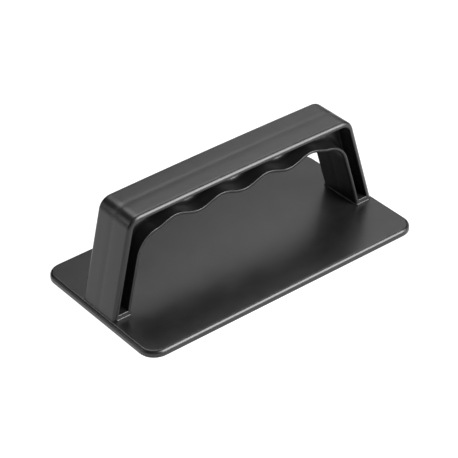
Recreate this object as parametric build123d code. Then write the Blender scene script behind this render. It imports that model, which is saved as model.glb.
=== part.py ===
"""Hand-held hold-down plate: a flat rounded plate with a bridge handle screwed to it.

Millimetres. X runs along the plate, Y across it, Z up. The origin is at the middle
of the underside, so the part stands on the plane Z = 0.
"""
import math
import os

from build123d import *

# --- Plate ---------------------------------------------------------------------
plate_length = 150.0
plate_width = 81.3
plate_thickness = 3.2
plate_corner_radius = 8.0
plate_top_edge_radius = 1.6
plate_bottom_edge_radius = 0.3

# --- Handle: outside -----------------------------------------------------------
handle_width = 23.0
handle_height = 51.4
foot_half_span = 73.35
leg_lean = 14.55
crown_rise = 0.5
outer_bend_radius = 6.8
outer_edge_radius = 1.75

# --- Handle: straps, web and foot ----------------------------------------------
outer_strap = 2.3
grip_strap = 1.7
channel_gap = 4.8
channel_bend_radius = 4.9
web_thickness = 4.2
web_grip_fillet = 2.4
web_outer_fillet = 0.3
floor_thickness = 2.4
channel_rim_radius = 0.3
finger_edge_radius = 1.15
bead_reach = 0.5
bead_outer_inset = 1.0
bead_height = 0.7
bead_corner_radius = 1.2
bead_edge_radius = 0.4

# --- Finger grip ---------------------------------------------------------------
finger_count = 4
finger_pitch = 25.0
finger_wave_height = 1.55
wave_mid_height = 41.35
wave_half_length = 46.9
grip_bend_radius = 12.0
points_per_finger = 8

# --- Screws, one under each foot -----------------------------------------------
screw_spacing = 136.4
screw_crest_radius = 1.75
screw_core_radius = 1.25
screw_pitch = 1.3
thread_turns = 6
thread_clearance = 0.03
screw_head_radius = 3.3
screw_head_height = 2.0
head_recess = 0.15
screw_tip_length = 1.6
head_rim = 0.3
boss_radius = 3.8
boss_height = 11.0
cross_slot_width = 0.9
cross_slot_length = 3.8
cross_slot_depth = 1.3

# --- Moulding marks on the underside -------------------------------------------
ejector_mark_radius = 3.0
ejector_mark_depth = 0.15
ejector_mark_inset_x = 26.0
ejector_mark_inset_y = 16.0
gate_dimple_radius = 2.0
gate_dimple_depth = 0.4

# --- One turn of the thread, as shares of the pitch ------------------------------
crest_end = 0.15
core_start = 0.50
core_end = 0.60
next_crest = 0.95
tip_shoulder = 0.3

tolerance = 0.01

lean = math.radians(leg_lean)
half_width = handle_width / 2
foot_depth = outer_strap + channel_gap + grip_strap
channel_mid_depth = outer_strap + channel_gap / 2
screw_positions = [(-screw_spacing / 2, 0), (screw_spacing / 2, 0)]


def leg_x(height, depth):
    """X of the right leg at a height, at a depth measured square to its outer face."""
    return foot_half_span - (height - plate_thickness) * math.tan(lean) - depth / math.cos(lean)


def both_ways(sketch, half):
    """A drawing in the XZ plane, extruded the same distance to each side of it."""
    return extrude(sketch, amount=half, both=True)


def wave_point(x, offset):
    """A point beside the grip's centre line, offset square to it, upwards if positive."""
    phase = 2 * math.pi * x / finger_pitch
    z = wave_mid_height - finger_wave_height * math.cos(phase)
    slope = math.atan(finger_wave_height * 2 * math.pi / finger_pitch * math.sin(phase))
    return (x - offset * math.sin(slope), z + offset * math.cos(slope))


def bend_to_leg(end, depth, radius):
    """The arc from the wave's right end down to the leg, tangent to the leg's line.

    Returns the arc's middle and its tangent point on the leg.
    """
    along = (-math.sin(lean), math.cos(lean))
    inward = (-math.cos(lean), -math.sin(lean))
    foot = (leg_x(plate_thickness, depth), plate_thickness)
    reach = (end[0] - foot[0], end[1] - foot[1])
    up_leg = reach[0] * along[0] + reach[1] * along[1]
    off_leg = reach[0] * inward[0] + reach[1] * inward[1]
    rise = up_leg - math.sqrt(2 * off_leg * radius - off_leg**2)
    tangent = (foot[0] + rise * along[0], foot[1] + rise * along[1])
    centre = (tangent[0] + radius * inward[0], tangent[1] + radius * inward[1])
    start_angle = math.atan2(tangent[1] - centre[1], tangent[0] - centre[0])
    end_angle = math.atan2(end[1] - centre[1], end[0] - centre[0])
    mid_angle = (start_angle + end_angle) / 2
    middle = (centre[0] + radius * math.cos(mid_angle), centre[1] + radius * math.sin(mid_angle))
    return middle, tangent


def mirrored(point):
    return (-point[0], point[1])


def area_under_grip(offset, bottom):
    """Everything inside the grip strap's line, down to a height, as a drawing in XZ."""
    depth = outer_strap + channel_gap + grip_strap / 2 - offset
    steps = finger_count * points_per_finger
    xs = [wave_half_length * (2 * i / steps - 1) for i in range(steps + 1)]
    wave = [wave_point(x, offset) for x in xs]
    right_end = wave[-1]
    middle, tangent = bend_to_leg(right_end, depth, grip_bend_radius + offset)
    low_right = (leg_x(bottom, depth), bottom)
    with BuildSketch(Plane.XZ) as drawing:
        with BuildLine():
            Spline(*wave)
            ThreePointArc(right_end, middle, tangent)
            Polyline(tangent, low_right, mirrored(low_right), mirrored(tangent))
            ThreePointArc(mirrored(tangent), mirrored(middle), mirrored(right_end))
        make_face()
    return drawing.sketch


def trapezium_under_crown(depth, bend_radius, bottom):
    """The handle's outside, or a line at a depth inside it, as a drawing in XZ."""
    top = handle_height - depth
    corner_height = top - crown_rise
    corner = (leg_x(corner_height, depth), corner_height)
    low_right = (leg_x(bottom, depth), bottom)
    with BuildSketch(Plane.XZ) as drawing:
        with BuildLine():
            ThreePointArc(mirrored(corner), (0, top), corner)
            Polyline(corner, low_right, mirrored(low_right), mirrored(corner))
        make_face()
        fillet(drawing.vertices().group_by(Axis.Y)[-1], bend_radius)
    return drawing.sketch


def at_side_faces(edge):
    return abs(abs(edge.center().Y) - half_width) < tolerance


def above_plate(edge):
    return edge.center().Z > plate_thickness + tolerance


def centred_on(edge, spots):
    return any((edge.center() - spot).length < tolerance for spot in spots)


def beside_gap(edge):
    """True for an edge of the finger gap, which lies further in than the channel does."""
    centre = edge.center()
    inside = abs(centre.X) < leg_x(centre.Z, channel_mid_depth)
    return above_plate(edge) and inside and centre.Z < handle_height - channel_mid_depth


def beside_grip(edge):
    """True for an edge of the channel that runs along the grip strap."""
    centre = edge.center()
    on_floor = abs(centre.Z - plate_thickness - floor_thickness) < tolerance
    inside = abs(centre.X) < leg_x(centre.Z, channel_mid_depth)
    return inside and not on_floor and centre.Z < handle_height - channel_mid_depth


def screw_thread(clearance):
    """A ringed thread and its point on the Z axis, starting at Z = 0 and going up."""
    core = screw_core_radius + clearance
    crest = screw_crest_radius + clearance
    outline = [(0, 0), (crest, 0)]
    for turn in range(thread_turns):
        outline.append((crest, (turn + crest_end) * screw_pitch))
        outline.append((core, (turn + core_start) * screw_pitch))
        outline.append((core, (turn + core_end) * screw_pitch))
        outline.append((crest, (turn + next_crest) * screw_pitch))
    top = thread_turns * screw_pitch
    outline.append((core, top + tip_shoulder * screw_pitch))
    outline.append((0, top + screw_tip_length))
    with BuildSketch(Plane.XZ) as drawing:
        with BuildLine():
            Polyline(*outline, close=True)
        make_face()
    return revolve(drawing.sketch, Axis.Z)


def countersink(clearance):
    """The cone that the screw's head fills, from its flat face at Z = 0 upwards."""
    head = screw_head_radius + clearance
    neck = screw_crest_radius + clearance
    with BuildSketch(Plane.XZ) as drawing:
        with BuildLine():
            Polyline((0, 0), (head, 0), (head, head_rim), (neck, screw_head_height), (0, screw_head_height),
                     close=True)
        make_face()
    return revolve(drawing.sketch, Axis.Z)


def build_plate():
    plate = extrude(RectangleRounded(plate_length, plate_width, plate_corner_radius), plate_thickness)
    plate = fillet(plate.edges().group_by(Axis.Z)[-1], plate_top_edge_radius)
    plate = fillet(plate.edges().group_by(Axis.Z)[0], plate_bottom_edge_radius)
    mark_x = plate_length / 2 - ejector_mark_inset_x
    mark_y = plate_width / 2 - ejector_mark_inset_y
    for x in (-mark_x, 0, mark_x):
        for y in (-mark_y, mark_y):
            plate -= Pos(x, y, 0) * Cylinder(ejector_mark_radius, 2 * ejector_mark_depth)
    plate -= Cylinder(gate_dimple_radius, 2 * gate_dimple_depth)
    for x, y in screw_positions:
        head_pocket = Cylinder(screw_head_radius + thread_clearance, head_recess,
                               align=(Align.CENTER, Align.CENTER, Align.MIN))
        plate -= Pos(x, y, 0) * head_pocket
        plate -= Pos(x, y, head_recess) * countersink(thread_clearance)
        plate -= Pos(x, y, 0) * Cylinder(screw_crest_radius + thread_clearance, 4 * plate_thickness)
    return plate


def build_handle():
    outside = both_ways(trapezium_under_crown(0, outer_bend_radius, plate_thickness), half_width)
    rim = [edge for edge in outside.edges() if at_side_faces(edge) and above_plate(edge)]
    handle = fillet(rim, outer_edge_radius)

    # the open gap that the fingers go through
    gap = both_ways(area_under_grip(-grip_strap / 2, plate_thickness), handle_width)
    handle -= gap
    finger_edges = [edge for edge in handle.edges() if at_side_faces(edge) and beside_gap(edge)]
    handle = fillet(finger_edges, finger_edge_radius)

    # the channel between the two straps, open on both sides and floored at each foot
    floor = plate_thickness + floor_thickness
    channel_area = trapezium_under_crown(outer_strap, channel_bend_radius, floor)
    channel_area -= area_under_grip(grip_strap / 2, plate_thickness)
    channel_depth = half_width - web_thickness / 2
    channel = both_ways(channel_area, channel_depth / 2)
    deep_edges = channel.edges().group_by(Axis.Y)[-1]
    channel = fillet([edge for edge in deep_edges if beside_grip(edge)], web_grip_fillet)
    deep_edges = [edge for edge in channel.edges().group_by(Axis.Y)[-1] if not beside_grip(edge)]
    channel = fillet(deep_edges, web_outer_fillet)
    offset = web_thickness / 2 + channel_depth / 2
    near_channel = Pos(0, -offset, 0) * channel
    far_channel = Pos(0, offset, 0) * mirror(channel, Plane.XZ)
    handle -= near_channel
    handle -= far_channel
    openings = [edge.center() for edge in near_channel.edges() + far_channel.edges() if at_side_faces(edge)]
    handle = fillet([edge for edge in handle.edges() if centred_on(edge, openings)], channel_rim_radius)

    # a boss in each leg for the screw, cut back to the handle's own outside
    for x, y in screw_positions:
        boss = Pos(x, y, plate_thickness) * Cylinder(boss_radius, boss_height,
                                                     align=(Align.CENTER, Align.CENTER, Align.MIN))
        handle += (boss & outside) - gap

    # a low round-edged bead about each foot, except at its outer face, where it stands on the plate
    bead_outer_x = leg_x(plate_thickness, 0) - bead_outer_inset
    bead_inner_x = leg_x(plate_thickness, foot_depth) - bead_reach
    bead_outline = RectangleRounded(bead_outer_x - bead_inner_x, handle_width + 2 * bead_reach,
                                    bead_corner_radius)
    bead = extrude(bead_outline, bead_height)
    bead = fillet(bead.edges().group_by(Axis.Z)[-1], bead_edge_radius)
    for side in (-1, 1):
        handle += Pos(side * (bead_outer_x + bead_inner_x) / 2, 0, plate_thickness) * bead
    thread_start = screw_head_height + head_recess
    for x, y in screw_positions:
        handle -= Pos(x, y, thread_start) * screw_thread(thread_clearance)
    return handle


def build_screw():
    screw = countersink(0) + Pos(0, 0, screw_head_height) * screw_thread(0)
    slot = Box(cross_slot_length, cross_slot_width, 2 * cross_slot_depth)
    screw -= slot
    screw -= Rot(0, 0, 90) * slot
    return screw


def build_screws():
    screw = build_screw()
    return [Pos(x, y, head_recess) * screw for x, y in screw_positions]


def write(name, shape):
    shape.label = name
    export_step(shape, os.path.join("parts", name + ".step"))


os.makedirs("parts", exist_ok=True)
write("base_plate", build_plate())
write("handle", build_handle())
write("handle_screws", Compound(children=build_screws()))
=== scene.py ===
import math

import bpy
from mathutils import Matrix, Vector


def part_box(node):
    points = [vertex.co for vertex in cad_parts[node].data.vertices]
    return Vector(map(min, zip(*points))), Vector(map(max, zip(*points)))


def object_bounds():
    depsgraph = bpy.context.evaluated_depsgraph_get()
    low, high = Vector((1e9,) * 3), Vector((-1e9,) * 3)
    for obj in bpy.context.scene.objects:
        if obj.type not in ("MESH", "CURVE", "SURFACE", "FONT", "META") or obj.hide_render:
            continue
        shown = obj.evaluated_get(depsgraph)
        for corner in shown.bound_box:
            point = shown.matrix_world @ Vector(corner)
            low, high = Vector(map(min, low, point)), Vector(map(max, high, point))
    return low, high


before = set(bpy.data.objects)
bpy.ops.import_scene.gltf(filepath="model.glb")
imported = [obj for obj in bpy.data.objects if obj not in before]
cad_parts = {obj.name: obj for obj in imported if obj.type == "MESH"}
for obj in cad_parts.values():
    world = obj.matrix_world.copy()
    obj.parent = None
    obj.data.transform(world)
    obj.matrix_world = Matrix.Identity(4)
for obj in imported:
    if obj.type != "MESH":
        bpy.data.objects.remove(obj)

SCENE = bpy.context.scene
CAD_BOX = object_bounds()
MM = 0.001

# --- camera: a long lens, to the left of the long side and looking down on it ---
CAMERA_TURN = math.radians(36.8)
CAMERA_DROP = math.radians(34.94)
CAMERA_ROLL = math.radians(-2.09)
CAMERA_DISTANCE = 0.8973
CAMERA_AIM = (-1.36 * MM, 10.52 * MM)
FOCAL_RATIO = 4.346
SENSOR_WIDTH = 36.0
CLIP_NEAR = 0.01
CLIP_FAR = 20

# --- studio: five softboxes on a sphere about the part, over a glowing white floor ---
# each has a name, a bearing from +X and an elevation in degrees, its width and height, and its radiance
LIGHT_DISTANCE = 1.1
LIGHT_TARGET = (0, 0, 20 * MM)
SOFTBOXES = [
    ("front_softbox", -60, 33, 0.75, 1.00, 15.5),
    ("far_softbox", 75, 60, 0.50, 0.40, 8.0),
    ("right_softbox", 35, 48, 0.50, 0.40, 3.5),
    ("left_fill", 150, 25, 0.60, 0.40, 2.5),
    ("low_right_fill", 50, 20, 0.40, 0.40, 1.0),
]
SKY_STRENGTH = 0.01
FLOOR_SIZE = 6.0
FLOOR_GAP = 0.1 * MM
FLOOR_COLOUR = 0.05
FLOOR_ROUGHNESS = 0.9
FLOOR_GLOW = 1.15

# --- black plastic ---
DARKEST = 0.005
LIGHTEST = 0.008
PLATE_ROUGHNESS = 0.33
HANDLE_ROUGHNESS = 0.36
ROUGHNESS_SPREAD = 0.03
SCUFF_LIGHTENS = 0.02
SCUFF_DULLS = 0.15
MOTTLE_SIZE = 7 * MM
GRAIN_SIZE = 0.45 * MM
GRAIN_HEIGHT = 0.0035 * MM
WAVE_SIZE = 38 * MM
WAVE_HEIGHT = 0.10 * MM

# --- plate: hairline scuffs and a duller underside ---
HAIRLINE_DEPTH = 0.001 * MM
HAIRLINE_WEAR = 0.25
UNDERSIDE_WEAR = 0.4
UNDERSIDE_FADE = (0.1 * MM, 0.4 * MM)

# --- handle: marks at the bends, a dome, a sink line and flow lines ---
# both ranges are distances below the handle's top
BEND_WEAR_BOTTOM = (9 * MM, 5 * MM)
BEND_WEAR_TOP = (1.3 * MM, 0.7 * MM)
BEND_WEAR_WIDTH = 1.5 * MM
FLECK_SIZE = 0.5 * MM
DOME_HEIGHT = 0.16 * MM
SINK_WIDTH = 1.8 * MM
SINK_DEPTH = 0.09 * MM
FLOW_LINE_SIZE = 1.3 * MM
FLOW_LINE_HEIGHT = 0.03 * MM

# --- screws ---
RING_SPACING = 0.25 * MM
RING_HEIGHT = 0.002 * MM
ZINC_TINT = (1.0, 0.99, 0.95)
ZINC_CLOUD_SIZE = 1.2 * MM
ZINC_CLOUD_HEIGHT = 0.006 * MM


# ---------------------------------------------------------------- camera and studio

def make_camera():
    ahead = Vector((math.cos(CAMERA_DROP) * math.sin(CAMERA_TURN),
                    math.cos(CAMERA_DROP) * math.cos(CAMERA_TURN),
                    -math.sin(CAMERA_DROP)))
    level_right = Vector((math.cos(CAMERA_TURN), -math.sin(CAMERA_TURN), 0))
    level_up = level_right.cross(ahead)
    right = level_right * math.cos(CAMERA_ROLL) + level_up * math.sin(CAMERA_ROLL)
    up = level_up * math.cos(CAMERA_ROLL) - level_right * math.sin(CAMERA_ROLL)
    aim = right * CAMERA_AIM[0] + up * CAMERA_AIM[1]
    data = bpy.data.cameras.new("camera")
    data.sensor_width = SENSOR_WIDTH
    data.lens = FOCAL_RATIO * SENSOR_WIDTH
    data.clip_start = CLIP_NEAR
    data.clip_end = CLIP_FAR
    camera = bpy.data.objects.new("camera", data)
    turn = Matrix((right, up, -ahead)).transposed()
    camera.matrix_world = Matrix.Translation(aim - ahead * CAMERA_DISTANCE) @ turn.to_4x4()
    SCENE.collection.objects.link(camera)
    SCENE.camera = camera


def facing(location, target=LIGHT_TARGET):
    """The placing of a light at a point, turned to face the target."""
    direction = Vector(target) - Vector(location)
    return Matrix.Translation(location) @ direction.to_track_quat("-Z", "Y").to_matrix().to_4x4()


def make_softbox(name, bearing, elevation, width, height, radiance):
    bearing = math.radians(bearing)
    elevation = math.radians(elevation)
    data = bpy.data.lights.new(name, "AREA")
    data.shape = "RECTANGLE"
    data.size = width
    data.size_y = height
    data.energy = radiance * math.pi * width * height
    light = bpy.data.objects.new(name, data)
    light.matrix_world = facing(LIGHT_DISTANCE * Vector((math.cos(elevation) * math.cos(bearing),
                                                         math.cos(elevation) * math.sin(bearing),
                                                         math.sin(elevation))))
    SCENE.collection.objects.link(light)


def make_floor():
    mesh = bpy.data.meshes.new("floor")
    half = FLOOR_SIZE / 2
    corners = [(-half, -half, 0), (half, -half, 0), (half, half, 0), (-half, half, 0)]
    mesh.from_pydata(corners, [], [(0, 1, 2, 3)])
    floor = bpy.data.objects.new("floor", mesh)
    floor.location.z = CAD_BOX[0].z - FLOOR_GAP
    material = bpy.data.materials.new("pale_floor")
    material.use_nodes = True
    shader = material.node_tree.nodes["Principled BSDF"]
    shader.inputs["Base Color"].default_value = (FLOOR_COLOUR, FLOOR_COLOUR, FLOOR_COLOUR, 1)
    shader.inputs["Roughness"].default_value = FLOOR_ROUGHNESS
    shader.inputs["Specular IOR Level"].default_value = 0.0
    shader.inputs["Emission Color"].default_value = (1, 1, 1, 1)
    shader.inputs["Emission Strength"].default_value = FLOOR_GLOW
    mesh.materials.append(material)
    SCENE.collection.objects.link(floor)


def make_studio():
    world = bpy.data.worlds.new("studio")
    world.use_nodes = True
    background = world.node_tree.nodes["Background"]
    background.inputs["Color"].default_value = (1, 1, 1, 1)
    background.inputs["Strength"].default_value = SKY_STRENGTH
    SCENE.world = world
    SCENE.view_settings.view_transform = "Standard"
    for softbox in SOFTBOXES:
        make_softbox(*softbox)
    make_floor()


# ---------------------------------------------------------------- material nodes

class Look:
    """A material's node tree, with short calls for the nodes that the materials use."""

    def __init__(self, name):
        self.material = bpy.data.materials.new(name)
        self.material.use_nodes = True
        self.tree = self.material.node_tree
        self.shader = self.tree.nodes["Principled BSDF"]
        self.place = self.tree.nodes.new("ShaderNodeTexCoord").outputs["Object"]
        apart = self.tree.nodes.new("ShaderNodeSeparateXYZ")
        self.tree.links.new(self.place, apart.inputs[0])
        self.x = apart.outputs["X"]
        self.y = apart.outputs["Y"]
        self.z = apart.outputs["Z"]

    def put(self, socket, value):
        if isinstance(value, bpy.types.NodeSocket):
            self.tree.links.new(value, socket)
        else:
            socket.default_value = value

    def math(self, operation, first, second=0.0):
        node = self.tree.nodes.new("ShaderNodeMath")
        node.operation = operation
        for socket, value in zip(node.inputs, (first, second)):
            self.put(socket, value)
        return node.outputs[0]

    def times(self, first, second):
        return self.math("MULTIPLY", first, second)

    def plus(self, first, second):
        return self.math("ADD", first, second)

    def noise(self, grain, detail=2.0, stretch=(1, 1, 1)):
        """Noise from 0 to 1 whose features are about grain metres wide, drawn out by stretch."""
        scaled = self.tree.nodes.new("ShaderNodeVectorMath")
        scaled.operation = "MULTIPLY"
        self.put(scaled.inputs[0], self.place)
        scaled.inputs[1].default_value = tuple(1 / (grain * length) for length in stretch)
        node = self.tree.nodes.new("ShaderNodeTexNoise")
        node.inputs["Scale"].default_value = 1.0
        node.inputs["Detail"].default_value = detail
        self.put(node.inputs["Vector"], scaled.outputs[0])
        return node.outputs["Fac"]

    def remap(self, value, low, high, new_low, new_high):
        """The value's range from low to high, moved smoothly to a new range and held there."""
        node = self.tree.nodes.new("ShaderNodeMapRange")
        node.interpolation_type = "SMOOTHSTEP"
        self.put(node.inputs["Value"], value)
        names = ("From Min", "From Max", "To Min", "To Max")
        for name, number in zip(names, (low, high, new_low, new_high)):
            node.inputs[name].default_value = number
        return node.outputs["Result"]

    def bell(self, value, width):
        """1 where the value is 0, and falling away to each side like a bell."""
        share = self.math("DIVIDE", value, width)
        return self.math("EXPONENT", self.times(self.times(share, share), -1.0))

    def relief(self, height, metres, under=None):
        """A bump of that many metres for each unit of height, over another bump."""
        node = self.tree.nodes.new("ShaderNodeBump")
        node.inputs["Strength"].default_value = 1.0
        node.inputs["Distance"].default_value = metres
        self.put(node.inputs["Height"], height)
        if under is not None:
            self.put(node.inputs["Normal"], under)
        return node.outputs["Normal"]

    def grey(self, value, tint=(1.0, 1.0, 1.0)):
        node = self.tree.nodes.new("ShaderNodeCombineColor")
        for socket, share in zip(node.inputs, tint):
            self.put(socket, self.times(value, share))
        return node.outputs[0]


def moulded_plastic(look, roughness, scuffs):
    """Satin black plastic with a fine grain. Scuffs, from 0 to 1, are lighter and duller."""
    mottle = look.noise(MOTTLE_SIZE, detail=3.0)
    grain = look.noise(GRAIN_SIZE, detail=1.0)
    colour = look.remap(mottle, 0.3, 0.7, DARKEST, LIGHTEST)
    colour = look.plus(colour, look.times(scuffs, SCUFF_LIGHTENS))
    look.put(look.shader.inputs["Base Color"], look.grey(colour))
    satin = look.plus(look.times(mottle, ROUGHNESS_SPREAD), look.times(grain, ROUGHNESS_SPREAD))
    satin = look.plus(satin, roughness - ROUGHNESS_SPREAD)
    look.put(look.shader.inputs["Roughness"], look.plus(satin, look.times(scuffs, SCUFF_DULLS)))
    waviness = look.relief(look.noise(WAVE_SIZE, detail=1.0), WAVE_HEIGHT)
    return look.relief(grain, GRAIN_HEIGHT, under=waviness)


def plate_plastic():
    look = Look("plate_plastic_look")
    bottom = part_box("base_plate")[0].z
    hairlines = look.noise(0.35 * MM, detail=2.0, stretch=(50, 1, 1))
    crossing = look.noise(0.5 * MM, detail=2.0, stretch=(1, 40, 1))
    lengthwise = look.remap(hairlines, 0.64, 0.78, 0.0, 0.5)
    scratched = look.plus(lengthwise, look.remap(crossing, 0.68, 0.8, 0.0, 0.3))
    underside = look.remap(look.z, bottom + UNDERSIDE_FADE[0], bottom + UNDERSIDE_FADE[1], 1.0, 0.0)
    worn = look.plus(look.times(scratched, HAIRLINE_WEAR), look.times(underside, UNDERSIDE_WEAR))
    normal = moulded_plastic(look, PLATE_ROUGHNESS, worn)
    normal = look.relief(scratched, -HAIRLINE_DEPTH, under=normal)
    look.put(look.shader.inputs["Normal"], normal)
    return look.material


def handle_plastic():
    look = Look("handle_plastic_look")
    low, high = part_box("handle")
    half_width = (high.y - low.y) / 2

    # where it is rubbed in use: thin marks along the middle of each outer bend
    near_bend = look.remap(look.z, high.z - BEND_WEAR_BOTTOM[0], high.z - BEND_WEAR_BOTTOM[1], 0.0, 1.0)
    below_top = look.remap(look.z, high.z - BEND_WEAR_TOP[0], high.z - BEND_WEAR_TOP[1], 1.0, 0.0)
    middle = look.bell(look.y, BEND_WEAR_WIDTH)
    flecks = look.remap(look.noise(FLECK_SIZE, detail=3.0, stretch=(5, 1, 5)), 0.46, 0.62, 0.0, 1.0)
    scuffs = look.times(look.times(near_bend, below_top), look.times(middle, flecks))
    normal = moulded_plastic(look, HANDLE_ROUGHNESS, scuffs)

    # the strap's outer face is very slightly domed, and has sunk along the web behind it
    share = look.math("DIVIDE", look.y, half_width)
    dome = look.times(look.times(share, share), -1.0)
    normal = look.relief(dome, DOME_HEIGHT, under=normal)
    sink = look.times(look.bell(look.y, SINK_WIDTH), -1.0)
    normal = look.relief(sink, SINK_DEPTH, under=normal)

    # flow lines run along the strap and up the legs
    streaks = look.noise(FLOW_LINE_SIZE, detail=2.0, stretch=(70, 1, 70))
    normal = look.relief(streaks, FLOW_LINE_HEIGHT, under=normal)
    look.put(look.shader.inputs["Normal"], normal)
    return look.material


def screw_steel():
    """Zinc plate over the rings that turning leaves about each screw's axis."""
    look = Look("screw_steel_look")
    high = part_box("handle_screws")[1]
    head_radius = high.y
    axis_x = high.x - head_radius
    across = look.math("SUBTRACT", look.math("ABSOLUTE", look.x), axis_x)
    radius = look.math("SQRT", look.plus(look.times(across, across), look.times(look.y, look.y)))
    rings = look.math("SINE", look.times(radius, 2 * math.pi / RING_SPACING))
    cloud = look.noise(ZINC_CLOUD_SIZE, detail=3.0)
    colour = look.remap(cloud, 0.3, 0.7, 0.52, 0.66)
    look.put(look.shader.inputs["Base Color"], look.grey(colour, tint=ZINC_TINT))
    look.shader.inputs["Metallic"].default_value = 1.0
    look.put(look.shader.inputs["Roughness"], look.remap(cloud, 0.3, 0.7, 0.38, 0.26))
    normal = look.relief(rings, RING_HEIGHT)
    normal = look.relief(cloud, ZINC_CLOUD_HEIGHT, under=normal)
    look.put(look.shader.inputs["Normal"], normal)
    return look.material


def paint(node, material):
    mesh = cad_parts[node].data
    for slot in range(len(mesh.materials)):
        mesh.materials[slot] = material


make_camera()
make_studio()
paint("base_plate", plate_plastic())
paint("handle", handle_plastic())
paint("handle_screws", screw_steel())
